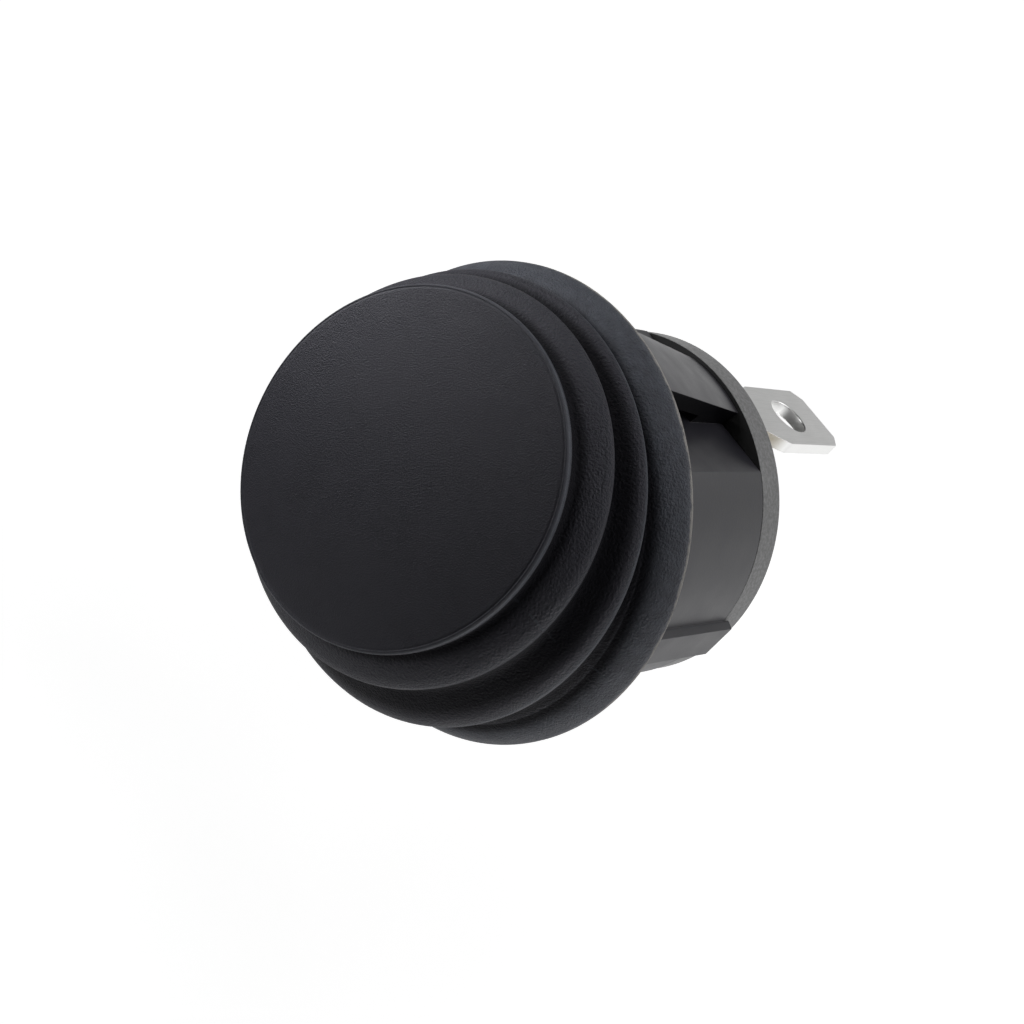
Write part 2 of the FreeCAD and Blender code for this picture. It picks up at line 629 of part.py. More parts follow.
# Rocker: disc under the cap, cheeks with pivot pins, spring tube.
rocker = make_body("rocker")
sk = make_sketch(rocker, "disc_section", "XY_Plane")
polygon(
    sk,
    [
        ("0", "-disc_top"),
        ("disc_r - disc_chamfer", "-disc_top"),
        ("disc_r", "-disc_top + disc_chamfer"),
        ("disc_r", "-disc_back"),
        ("tube_r", "-disc_back"),
        ("tube_r", "tube_end"),
        ("0", "tube_end"),
    ],
)
turn(rocker, "Revolution", "disc", sk)
sk = make_sketch(rocker, "cheek_outline", "YZ_Plane", "cheek_x - cheek_th")
polygon(
    sk,
    [
        ("-disc_back - sink", "-cheek_wide"),
        ("cheek_end", "-cheek_low"),
        ("cheek_end", "cheek_low"),
        ("-disc_back - sink", "cheek_wide"),
    ],
)
cheek = extrude(rocker, "Pad", "cheek", sk, "cheek_th")
pair(rocker, "cheeks", cheek)
sk = make_sketch(rocker, "rib_outline", "XY_Plane")
rectangle(sk, "-cheek_x + sink", "cheek_x - sink", "-disc_back - sink", "cheek_end - 2 * sink")
extrude(rocker, "Pad", "rib", sk, "rib_th", middle=True)
sk = make_sketch(rocker, "pin_outline", "YZ_Plane", "cheek_x - sink")
circle(sk, "pin_r")
pin = extrude(rocker, "Pad", "pin", sk, "pin_length + sink")
pair(rocker, "pins", pin)
sk = make_sketch(rocker, "bore_outline", "XZ_Plane", "-tube_end")
circle(sk, "bore_r")
extrude(rocker, "Pocket", "bore", sk, "tube_end - bore_start", back=True)
lean(rocker, "-tilt")

# Plunger: round shank in the bore, cone and ball that rides on the lever.
plunger = make_body("plunger")
sk = make_sketch(plunger, "plunger_section", "XY_Plane")
polygon(
    sk,
    [
        ("0", "plunger_back"),
        ("bore_r - run_gap", "plunger_back"),
        ("bore_r - run_gap", "plunger_neck"),
        ("ball_r * 0.98", "reach - ball_r * 0.199"),
        ("ball_r * 0.98", "reach + ball_r * 0.199"),
        ("0", "reach + ball_r * 0.199"),
    ],
)
shank = turn(plunger, "Revolution", "shank", sk)
lean(plunger, "-tilt")
ball = plunger.newObject("PartDesign::AdditiveSphere", "ball")
ball.setExpression("Radius", bind("ball_r"))
ball.AttachmentOffset = FreeCAD.Placement(FreeCAD.Vector(0, 0, 0), FreeCAD.Rotation())
ball.setExpression("AttachmentOffset.Base.y", bind("reach"))
ball.AttachmentSupport = (origin_part(plunger, "XY_Plane"), [""])
ball.MapMode = "FlatFace"

# Spring: wire wound between the blind end of the bore and the plunger, six-sided to save facets.
spring = make_body("plunger_spring")
sk = make_sketch(spring, "wire_section", "XY_Plane")
polygon(
    sk,
    [
        (
            "coil_r + wire_r * cos(%d)" % angle,
            "bore_start + wire_r + seat_gap + wire_r * sin(%d)" % angle,
        )
        for angle in (0, 60, 120, 180, 240, 300)
    ],
)
helix = spring.newObject("PartDesign::AdditiveHelix", "coil")
helix.Profile = sk
helix.ReferenceAxis = (sk, ["V_Axis"])
helix.Mode = "height-turns-angle"
helix.setExpression("Height", bind("plunger_back - bore_start - 2 * wire_r - 2 * seat_gap"))
helix.setExpression("Turns", bind("coil_turns"))
helix.Angle = 0
lean(spring, "-tilt")

doc.recompute()

BODIES = [boot, housing, base, common, switched, fixed, lever, moving, rocker, plunger, spring]
for item in doc.Objects:
    if "Invalid" in item.State or "Error" in item.State:
        raise RuntimeError("%s is %s" % (item.Name, item.State))
os.makedirs("parts", exist_ok=True)
for body in BODIES:
    if body.Shape.isNull() or not body.Shape.isValid() or len(body.Shape.Solids) != 1:
        raise RuntimeError("%s has no single valid solid" % body.Label)
    body.Shape.exportStep("parts/%s.step" % body.Label)
    box = body.Shape.BoundBox
    print(
        "%-18s %9.2f mm3  x %.2f %.2f  y %.2f %.2f  z %.2f %.2f"
        % (body.Label, body.Shape.Volume, box.XMin, box.XMax, box.YMin, box.YMax, box.ZMin, box.ZMax)
    )
print("ball radius", sheet.ball_r, "fixed contact face", sheet.meet_y, "height", sheet.meet_z)
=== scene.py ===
import math

import bmesh
import bpy
from bpy.props import FloatProperty, FloatVectorProperty, IntProperty, PointerProperty
from bpy.types import Operator, Panel, PropertyGroup
from mathutils import Matrix, Vector


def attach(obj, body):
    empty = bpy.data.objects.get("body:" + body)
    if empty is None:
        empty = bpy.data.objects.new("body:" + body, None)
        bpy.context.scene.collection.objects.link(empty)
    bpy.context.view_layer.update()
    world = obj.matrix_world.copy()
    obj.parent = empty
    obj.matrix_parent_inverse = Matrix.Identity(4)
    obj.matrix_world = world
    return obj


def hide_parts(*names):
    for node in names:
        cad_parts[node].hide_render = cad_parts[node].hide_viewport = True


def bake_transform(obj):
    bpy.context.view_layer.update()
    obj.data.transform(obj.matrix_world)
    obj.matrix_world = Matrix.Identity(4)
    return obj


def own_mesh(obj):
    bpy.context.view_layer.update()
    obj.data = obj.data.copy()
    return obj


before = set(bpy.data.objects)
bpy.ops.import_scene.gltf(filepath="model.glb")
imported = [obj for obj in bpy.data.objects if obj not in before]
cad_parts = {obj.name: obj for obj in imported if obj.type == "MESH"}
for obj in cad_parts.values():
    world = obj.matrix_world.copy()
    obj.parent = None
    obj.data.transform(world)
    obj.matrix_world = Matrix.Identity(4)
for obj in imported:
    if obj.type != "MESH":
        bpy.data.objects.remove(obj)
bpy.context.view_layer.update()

bl_info = {
    "name": "Round sealed rocker switch",
    "version": (1, 0, 0),
    "blender": (4, 5, 0),
    "location": "View3D > Sidebar > Switch",
    "description": "Dresses the packed rocker switch: boot, housing, base, blades and contacts",
    "category": "Object",
}

MM = 0.001
FULL = 2 * math.pi
WHITE = (1.0, 1.0, 1.0, 1.0)


# Sizes and colours that a user would change.


def length(name, description, millimetres):
    return FloatProperty(
        name=name,
        description=description,
        default=millimetres * MM,
        min=0.0,
        subtype="DISTANCE",
        unit="LENGTH",
    )


def tint(name, description, value):
    return FloatVectorProperty(
        name=name, description=description, default=value, size=3, min=0.0, max=1.0, subtype="COLOR"
    )


def power(name, description, watts):
    return FloatProperty(name=name, description=description, default=watts, min=0.0, unit="POWER")


class BootSettings(PropertyGroup):
    steps: IntProperty(name="Steps", description="Steps round the boot", default=288, min=32, max=512)
    tilt: FloatProperty(
        name="Lean",
        description="Lean of the cap at rest",
        default=math.radians(17),
        subtype="ANGLE",
        unit="ROTATION",
    )
    cap_radius: length("Cap radius", "Radius of the cap's rim", 8.77)
    inner_lip: length("Inner lip", "Radius of the lip below the cap", 10.06)
    outer_lip: length("Outer lip", "Radius of the lip above the flange", 11.4)
    flange_radius: length("Flange radius", "Radius of the panel flange", 12.5)
    rubber: tint("Rubber", "Colour of the rubber", (0.0138, 0.0133, 0.0178))
    # Pale lip colour: rubbed wear and painted highlight on the lips, the cap's bead and the flange.
    rubbed_and_highlight: tint("Rubbed lip", "Colour of the rubber on its lips", (0.063, 0.070, 0.083))
    flash: tint("Flash", "Colour of the moulding flash on the flange edge", (0.300, 0.285, 0.262))


class HousingSettings(PropertyGroup):
    steps: IntProperty(name="Steps", description="Steps round the barrel", default=192, min=32, max=512)
    barrel_radius: length("Barrel radius", "Radius of the barrel", 10.0)
    flat_height: length("Flat", "Height of the flats above the axis", 8.4)
    edge_round: length("Edge rounding", "Rounding of the moulded edges", 0.09)
    nylon: tint("Nylon", "Colour of the moulded barrel", (0.0215, 0.0210, 0.0270))


class BaseSettings(PropertyGroup):
    rim_radius: length("Rim radius", "Radius of the rim", 9.95)
    edge_round: length("Edge rounding", "Rounding of the rim's edges", 0.07)
    nylon: tint("Base nylon", "Colour of the grainy rim", (0.165, 0.165, 0.167))


class TerminalSettings(PropertyGroup):
    tab_half: length("Half width", "Half the width of a tab", 2.4)
    tab_thick: length("Thickness", "Thickness of the strip", 0.8)
    hole_radius: length("Hole radius", "Radius of the tab's hole", 1.3)
    plating: tint("Plating", "Colour of the plated strip", (0.80, 0.80, 0.79))
    brass: tint("Sheared brass", "Colour of the sheared neck", (0.24, 0.205, 0.14))


class InsideSettings(PropertyGroup):
    wire_radius: length("Wire", "Radius of the spring wire", 0.16)
    coil_radius: length("Coil", "Radius of the spring's coil to the middle of its wire", 0.98)
    spring_length: length("Spring", "Length of the spring between its end turns' centres", 5.72)
    turns: FloatProperty(name="Turns", description="Turns of the spring", default=4.0, min=1.0)
    nylon: tint("Rocker nylon", "Colour of the rocker", (0.060, 0.060, 0.062))
    plunger: tint("Plunger nylon", "Colour of the plunger", (0.62, 0.60, 0.54))
    silver: tint("Contact silver", "Colour of the contacts", (0.80, 0.79, 0.76))
    steel: tint("Spring steel", "Colour of the spring wire", (0.46, 0.46, 0.47))
    strip: tint("Lever strip", "Colour of the lever's brass strip", (0.62, 0.46, 0.22))


class StageSettings(PropertyGroup):
    lens: FloatProperty(
        name="Lens", description="Focal length of the camera", default=50.78, min=1.0, unit="CAMERA"
    )
    floor_drop: length("Floor", "Depth of the floor below the hinge", 32.0)
    left_light: power("Left light", "Power of the light left of the cap", 0.0070)
    low_light: power("Low light", "Power of the light below the cap", 0.0026)
    high_light: power("High light", "Power of the light over the tiers", 0.0034)
    top_light: power("Top light", "Power of the light over the boot", 0.0018)
    right_light: power("Right light", "Power of the light at the right", 0.0046)
    rear_light: power("Rear light", "Power of the light above the rear", 0.032)
    sky: FloatProperty(name="Sky", description="Strength of the white surroundings", default=0.35, min=0.0)


def settings(context):
    return context.scene.switch_settings


# Mesh helpers. Solids are made in millimetres and brought to metres when they are finished.


def add_mesh(name, points, faces):
    mesh = bpy.data.meshes.new(name)
    mesh.from_pydata([tuple(p) for p in points], [], faces)
    work = bmesh.new()
    work.from_mesh(mesh)
    bmesh.ops.recalc_face_normals(work, faces=work.faces)
    work.to_mesh(mesh)
    work.free()
    piece = bpy.data.objects.new(name, mesh)
    bpy.context.scene.collection.objects.link(piece)
    return piece


def skin(rings, steps):
    """Faces between each ring and the next, and from the last ring back to the first."""
    faces = []
    for i, a in enumerate(rings):
        b = rings[(i + 1) % len(rings)]
        for step in range(steps):
            after = (step + 1) % len(a)
            corners = list(dict.fromkeys((a[step], a[after], b[after], b[step])))
            if len(corners) > 2:
                faces.append(corners)
    return faces


def lathe(name, section, steps, start=0.0, sweep=FULL):
    """Solid turned about Y from a closed section of (y, radius); angles run from X towards Z."""
    closed = sweep > FULL - 1e-6
    turns = steps if closed else steps + 1
    points, rings = [], []
    for y, radius in section:
        if radius < 1e-9:
            points.append((0.0, y, 0.0))
            rings.append([len(points) - 1] * turns)
            continue
        ring = []
        for step in range(turns):
            angle = start + sweep * step / steps
            points.append((radius * math.cos(angle), y, radius * math.sin(angle)))
            ring.append(len(points) - 1)
        rings.append(ring)
    faces = skin(rings, steps)
    if not closed:
        faces.append([ring[0] for ring in rings])
        faces.append([ring[-1] for ring in rings])
    return add_mesh(name, points, faces)


def prism(name, outline, low, high, axis):
    """Solid from a closed outline, drawn square to an axis and run from low to high along it."""
    place = {
        "x": lambda a, b, c: (c, a, b),
        "y": lambda a, b, c: (a, c, b),
        "z": lambda a, b, c: (a, b, c),
    }[axis]
    count = len(outline)
    points = [place(a, b, low) for a, b in outline] + [place(a, b, high) for a, b in outline]
    faces = [list(range(count)), list(range(count, 2 * count))]
    for i in range(count):
        after = (i + 1) % count
        faces.append([i, after, count + after, count + i])
    return add_mesh(name, points, faces)


def block(name, x0, x1, y0, y1, z0, z1):
    return prism(name, [(x0, y0), (x1, y0), (x1, y1), (x0, y1)], z0, z1, "z")


def round_bar(name, radius, low, high, axis, a=0.0, b=0.0, steps=64):
    ring = [FULL * i / steps for i in range(steps)]
    return prism(name, [(a + radius * math.cos(t), b + radius * math.sin(t)) for t in ring], low, high, axis)


def settle(piece):
    """Turn the evaluated modifiers into a plain mesh."""
    graph = bpy.context.evaluated_depsgraph_get()
    mesh = bpy.data.meshes.new_from_object(piece.evaluated_get(graph), depsgraph=graph)
    piece.modifiers.clear()
    old = piece.data
    piece.data = mesh
    bpy.data.meshes.remove(old)


def combine(piece, tool, operation):
    cut = piece.modifiers.new("combine", "BOOLEAN")
    cut.operation = operation
    cut.solver = "EXACT"
    cut.object = tool
    settle(piece)
    mesh = tool.data
    bpy.data.objects.remove(tool, do_unlink=True)
    bpy.data.meshes.remove(mesh)


def finish_solid(piece, rounding, angle=28.0, segments=3):
    """Clean a combined solid, round its edges, smooth it and bring it to metres."""
    work = bmesh.new()
    work.from_mesh(piece.data)
    bmesh.ops.remove_doubles(work, verts=work.verts, dist=0.0008)
    bmesh.ops.dissolve_limit(
        work, angle_limit=math.radians(0.4), verts=work.verts, edges=work.edges, delimit={"NORMAL"}
    )
    work.to_mesh(piece.data)
    work.free()
    bevel = piece.modifiers.new("edges", "BEVEL")
    bevel.width = rounding
    bevel.segments = segments
    bevel.limit_method = "ANGLE"
    bevel.angle_limit = math.radians(angle)
    bevel.miter_outer = "MITER_ARC"
    normal = piece.modifiers.new("normals", "WEIGHTED_NORMAL")
    normal.keep_sharp = True
    piece.data.shade_smooth()
    settle(piece)
    piece.data.transform(Matrix.Scale(MM, 4))
    piece.data.update()


def coat(piece, material):
    piece.data.materials.clear()
    piece.data.materials.append(material)


# Shader groups and materials.


def add_group(name, inputs, outputs):
    tree = bpy.data.node_groups.new(name, "ShaderNodeTree")
    for label, kind, value in inputs:
        socket = tree.interface.new_socket(name=label, in_out="INPUT", socket_type=kind)
        if value is not None:
            socket.default_value = value
    for label, kind in outputs:
        tree.interface.new_socket(name=label, in_out="OUTPUT", socket_type=kind)
    return tree, tree.nodes.new("NodeGroupInput"), tree.nodes.new("NodeGroupOutput")


def add_math(tree, operation, first, second=None, clamp=False):
    node = tree.nodes.new("ShaderNodeMath")
    node.operation = operation
    node.use_clamp = clamp
    for index, value in enumerate((first, second)):
        if value is None:
            continue
        if isinstance(value, (int, float)):
            node.inputs[index].default_value = value
        else:
            tree.links.new(value, node.inputs[index])
    return node.outputs[0]


def add_noise(tree, vector, scale, detail=3.0, roughness=0.55):
    node = tree.nodes.new("ShaderNodeTexNoise")
    node.inputs["Detail"].default_value = detail
    node.inputs["Roughness"].default_value = roughness
    if isinstance(scale, (int, float)):
        node.inputs["Scale"].default_value = scale
    else:
        tree.links.new(scale, node.inputs["Scale"])
    tree.links.new(vector, node.inputs["Vector"])
    return node.outputs["Fac"]


def add_range(tree, value, low, high, out_low=0.0, out_high=1.0):
    node = tree.nodes.new("ShaderNodeMapRange")
    for label, number in (("From Min", low), ("From Max", high), ("To Min", out_low), ("To Max", out_high)):
        node.inputs[label].default_value = number
    tree.links.new(value, node.inputs["Value"])
    return node.outputs["Result"]


def add_mix(tree, factor, first, second):
    node = tree.nodes.new("ShaderNodeMix")
    node.data_type = "RGBA"
    for socket, value in ((node.inputs[0], factor), (node.inputs[6], first), (node.inputs[7], second)):
        if isinstance(value, (int, float)):
            socket.default_value = value
        elif isinstance(value, bpy.types.NodeSocket):
            tree.links.new(value, socket)
        else:
            socket.default_value = (*value, 1.0)
    return node.outputs[2]


def add_attribute(tree, name):
    node = tree.nodes.new("ShaderNodeAttribute")
    node.attribute_name = name
    return node.outputs["Fac"]


def moulded_grain():
    """Fine moulded grain: a height for bump and a slow mottle for colour and gloss."""
    found = bpy.data.node_groups.get("moulded_grain")
    if found:
        return found
    tree, start, end = add_group(
        "moulded_grain",
        [
            ("Coordinate", "NodeSocketVector", None),
            ("Grain", "NodeSocketFloat", 9000.0),
            ("Mottle", "NodeSocketFloat", 500.0),
        ],
        [("Height", "NodeSocketFloat"), ("Mottle", "NodeSocketFloat")],
    )
    fine = add_noise(tree, start.outputs["Coordinate"], start.outputs["Grain"], 4.0, 0.6)
    slow = add_noise(tree, start.outputs["Coordinate"], start.outputs["Mottle"], 3.0, 0.5)
    tree.links.new(fine, end.inputs["Height"])
    tree.links.new(add_range(tree, slow, 0.3, 0.7), end.inputs["Mottle"])
    return tree


def add_grain(material, grain, mottle):
    """Place the grain group in a material on object coordinates."""
    tree = material.node_tree
    place = tree.nodes.new("ShaderNodeTexCoord")
    node = tree.nodes.new("ShaderNodeGroup")
    node.node_tree = moulded_grain()
    node.inputs["Grain"].default_value = grain
    node.inputs["Mottle"].default_value = mottle
    tree.links.new(place.outputs["Object"], node.inputs["Coordinate"])
    return place.outputs["Object"], node.outputs["Height"], node.outputs["Mottle"]


def add_bump(tree, shader, height, distance, strength=1.0):
    bump = tree.nodes.new("ShaderNodeBump")
    bump.inputs["Strength"].default_value = strength
    bump.inputs["Distance"].default_value = distance
    tree.links.new(height, bump.inputs["Height"])
    tree.links.new(bump.outputs["Normal"], shader.inputs["Normal"])


def new_finish(name):
    material = bpy.data.materials.new(name)
    material.use_nodes = True
    return material, material.node_tree, material.node_tree.nodes["Principled BSDF"]


def scaled(colour, factor):
    return tuple(min(1.0, c * factor) for c in colour)


SEAM_SIDE = 0.85  # mm from the boot's middle plane to the mould seam


def rubber_finish(values):
    """Boot rubber: dark and grained, with painted shade in its folds, pale on its lips from rubbed wear and
    painted highlight, with flash and a mould seam.
    """
    material, tree, shader = new_finish("boot_rubber")
    place, height, mottle = add_grain(material, grain=14000.0, mottle=420.0)
    lip, flash, tier, side, painted_shade = (
        add_attribute(tree, name) for name in ("lip", "flash", "tier", "side", "painted_shade")
    )
    body = add_mix(tree, mottle, scaled(values.rubber, 0.9), scaled(values.rubber, 1.12))
    # Painted shade: the rubber darkens in the folds and under the lips.
    body = add_mix(tree, painted_shade, body, scaled(values.rubber, 0.4))
    # Paler lips: partly rubbed wear, partly painted highlight on the lips, the cap's bead and towards the
    # flange's edge.
    worn = add_noise(tree, place, 1600.0, 3.0)
    rub_and_highlight = add_math(tree, "MULTIPLY", lip, add_range(tree, worn, 0.3, 0.65, 0.55, 1.0))
    body = add_mix(tree, rub_and_highlight, body, tuple(values.rubbed_and_highlight))
    ragged = add_noise(tree, place, 900.0, 4.0, 0.7)
    edge = add_math(tree, "ADD", flash, add_range(tree, ragged, 0.3, 0.7))
    trace = add_math(tree, "MULTIPLY", add_range(tree, edge, 0.95, 1.35), flash, True)
    body = add_mix(tree, trace, body, tuple(values.flash))
    away = add_math(tree, "ABSOLUTE", add_math(tree, "SUBTRACT", side, SEAM_SIDE))
    near = add_range(tree, away, 0.03, 0.10, 1.0, 0.0)
    seam = add_math(tree, "MULTIPLY", near, add_range(tree, worn, 0.45, 0.6))
    seam = add_math(tree, "MULTIPLY", seam, add_math(tree, "MULTIPLY", tier, 0.5))
    body = add_mix(tree, seam, body, tuple(values.rubbed_and_highlight))
    tree.links.new(body, shader.inputs["Base Color"])
    tree.links.new(add_range(tree, mottle, 0.0, 1.0, 0.48, 0.56), shader.inputs["Roughness"])
    # Painted shade also takes the reflection out of the folds.
    tree.links.new(add_range(tree, painted_shade, 0.0, 1.0, 0.40, 0.10), shader.inputs["Specular IOR Level"])
    shader.inputs["Specular Tint"].default_value = (0.88, 0.88, 1.0, 1.0)
    rough = add_math(tree, "MULTIPLY", tier, 1.25)
    coarse = add_math(tree, "MULTIPLY", add_noise(tree, place, 8000.0, 3.0), rough)
    height = add_math(tree, "ADD", add_math(tree, "MULTIPLY", height, 0.38), coarse)
    add_bump(tree, shader, height, 0.00012, 0.8)
    return material


def nylon_finish(name, colour, gloss, grain, depth, speckle=0.0):
    """Moulded nylon: slow mottle, gloss that varies, fine grain, pale speckles, and painted shade, dark and
    dull, on the faces marked for it.
    """
    material, tree, shader = new_finish(name)
    _, height, mottle = add_grain(material, grain, mottle=600.0)
    tone = add_mix(tree, mottle, scaled(colour, 0.92), scaled(colour, 1.08))
    if speckle > 0.0:
        tone = add_mix(tree, add_range(tree, height, 0.40, 0.64, 0.0, speckle), tone, scaled(colour, 2.2))
    # Painted shade: marked faces turn dark and lose most of their reflection.
    painted_shade = add_attribute(tree, "painted_shade")
    tree.links.new(add_mix(tree, painted_shade, tone, scaled(colour, 0.2)), shader.inputs["Base Color"])
    tree.links.new(add_range(tree, mottle, 0.0, 1.0, gloss - 0.04, gloss + 0.05), shader.inputs["Roughness"])
    tree.links.new(add_range(tree, painted_shade, 0.0, 1.0, 0.53, 0.05), shader.inputs["Specular IOR Level"])
    add_bump(tree, shader, height, depth, 0.5)
    return material


def mark_painted_shade(piece, hidden):
    """Face attribute of painted shade: the nylon turns dark and dull on the faces that hidden picks out."""
    layer = piece.data.attributes.new("painted_shade", "FLOAT", "FACE")
    values = [1.0 if hidden(face.center / MM, face.normal) else 0.0 for face in piece.data.polygons]
    layer.data.foreach_set("value", values)


def metal_finish(name, colour, gloss, edge=None):
    """Drawn or plated metal with fine lines along the strip and, on sheared faces, the metal below."""
    material, tree, shader = new_finish(name)
    place, _, mottle = add_grain(material, grain=4000.0, mottle=900.0)
    stretch = tree.nodes.new("ShaderNodeMapping")
    stretch.inputs["Scale"].default_value = (9.0, 0.35, 9.0)
    tree.links.new(place, stretch.inputs["Vector"])
    lines = add_noise(tree, stretch.outputs["Vector"], 1500.0, 4.0)
    tone = add_mix(tree, add_range(tree, lines, 0.3, 0.7), scaled(colour, 0.95), scaled(colour, 1.04))
    if edge is not None:
        bright = add_attribute(tree, "bright")
        tone = add_mix(tree, bright, tone, scaled(colour, 1.06))
        patchy = add_range(tree, mottle, 0.0, 1.0, 0.6, 1.0)
        bare = add_math(tree, "MULTIPLY", add_attribute(tree, "bare"), patchy)
        tone = add_mix(tree, bare, tone, tuple(edge))
    tree.links.new(tone, shader.inputs["Base Color"])
    tree.links.new(add_range(tree, mottle, 0.0, 1.0, gloss - 0.02, gloss + 0.03), shader.inputs["Roughness"])
    shader.inputs["Metallic"].default_value = 1.0
    add_bump(tree, shader, lines, 0.000004, 0.5)
    return material


# Boot. Lengths run along its leaning axis from the panel plane, in millimetres.

BOOT_BORE = 10.05
FLANGE_TOP = 2.1
CAP_FACE = 9.4
NOTCH_DEPTH = 0.61
NOTCH_RADIUS = 10.47
NOTCH_HALF = 1.32
KEY_RADIUS = 10.2

# Share of the lean at each length.
BOOT_SHARE = [
    (0.0, 0.0), (2.0, 0.0), (2.5, 0.12), (3.8, 0.476), (4.4, 0.54), (4.64, 0.57),
    (5.6, 0.74), (6.9, 0.92), (7.5, 0.98), (7.74, 1.0), (10.0, 1.0),
]


def lean_share(along):
    for (a, low), (b, high) in zip(BOOT_SHARE, BOOT_SHARE[1:]):
        if along <= b:
            return low + (high - low) * (along - a) / (b - a)
    return 1.0


def smooth(value):
    value = min(1.0, max(0.0, value))
    return value * value * (3.0 - 2.0 * value)


def fillet(corners, sides=5):
    """Polyline with its corners rounded; each corner is (along, radius, rounding)."""
    out = []
    for i, (x, y, size) in enumerate(corners):
        if size <= 0.0 or i in (0, len(corners) - 1):
            out.append((x, y))
            continue
        here = Vector((x, y))
        before = Vector(corners[i - 1][:2]) - here
        after = Vector(corners[i + 1][:2]) - here
        reach = min(size, before.length * 0.48, after.length * 0.48)
        first = here + before.normalized() * reach
        last = here + after.normalized() * reach
        for step in range(sides + 1):
            t = step / sides
            p = first * (1 - t) ** 2 + here * 2 * t * (1 - t) + last * t**2
            out.append((p.x, p.y))
    return out


def refine(line, most):
    """Add points so that no step of a polyline is longer than most."""
    out = [line[0]]
    for a, b in zip(line, line[1:]):
        gap = math.dist(a, b)
        parts = max(1, math.ceil(gap / most))
        for step in range(1, parts + 1):
            t = step / parts
            out.append((a[0] + (b[0] - a[0]) * t, a[1] + (b[1] - a[1]) * t))
    return out


def boot_weights(along, radius, cap, lip1, lip2):
    """Weights of a point on the boot's outside: lip mark of rubbed wear and painted highlight, moulding flash
    and painted shade in the folds.
    """
    lip = 0.0
    # Marks on the outer lip and the cap's bead: rubbed wear and painted highlight.
    for mark, width, strength in (((4.05, lip2), 0.22, 0.9), ((9.36, cap), 0.22, 0.95)):
        lip = max(lip, strength * math.exp(-((math.dist((along, radius), mark) / width) ** 2)))
    if along < FLANGE_TOP:  # painted highlight, growing towards the flange's edge
        lip = 0.80 * smooth((radius - 11.4) / 0.5)
    elif 7.0 < along < 8.5:  # painted light on the tier below the cap, growing towards the inner lip
        lip = 0.08 * smooth((radius - 8.7) / 1.2)
    flash = math.exp(-((along / 0.28) ** 4)) if radius > 12.3 else 0.0
    # Painted shade: darker, duller rubber in the folds and under the lips, where little light reaches.
    painted_shade = 0.0
    if 4.4 < along < 6.95:  # fold between the lips
        painted_shade = smooth((along - 4.35) / 0.5) * smooth((lip1 + 1.1 - radius) / 0.6)
    elif 7.9 < along < 9.05:  # below the cap
        painted_shade = smooth((cap + 0.45 - radius) / 0.5)
    elif 2.0 < along < 3.75:  # below the outer lip
        painted_shade = smooth((lip2 - 0.05 - radius) / 0.3)
    elif 1.0 < along <= 2.0:  # foot of the flange
        painted_shade = smooth((11.85 - radius) / 0.35)
    return lip, flash, painted_shade


